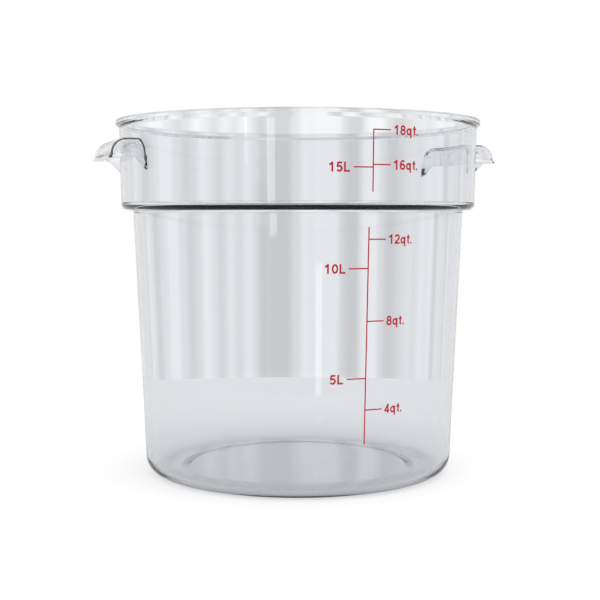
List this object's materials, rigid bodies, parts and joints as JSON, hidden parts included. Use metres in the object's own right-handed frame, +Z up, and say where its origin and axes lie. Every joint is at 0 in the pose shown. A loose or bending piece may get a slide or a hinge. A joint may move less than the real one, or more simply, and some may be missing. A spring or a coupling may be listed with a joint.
{
  "type": "dough proofing container",
  "caption": "Tall round clear plastic container with a tapered wall, a stepped wider collar, a rolled-out rim, two hooded side handles and a red printed volume scale.",
  "frame": {"origin": "middle of the base, on the surface that the container stands on", "axes": "+Z up along the container's axis, the two handles on the X axis, the printed scale in front, towards -Y"},
  "size_m": [0.348, 0.316, 0.305],
  "materials": {
    "clear_plastic": "clear, polished, faint blue at the edges",
    "red_ink": "printed, satin"
  },
  "bodies": {
    "root": {"container_body": "clear_plastic", "left_handle": "clear_plastic", "right_handle": "clear_plastic", "quart_marks": "red_ink", "litre_marks": "red_ink", "collar_scale_line": "red_ink", "wall_scale_line": "red_ink"}
  },
  "joints": []
}
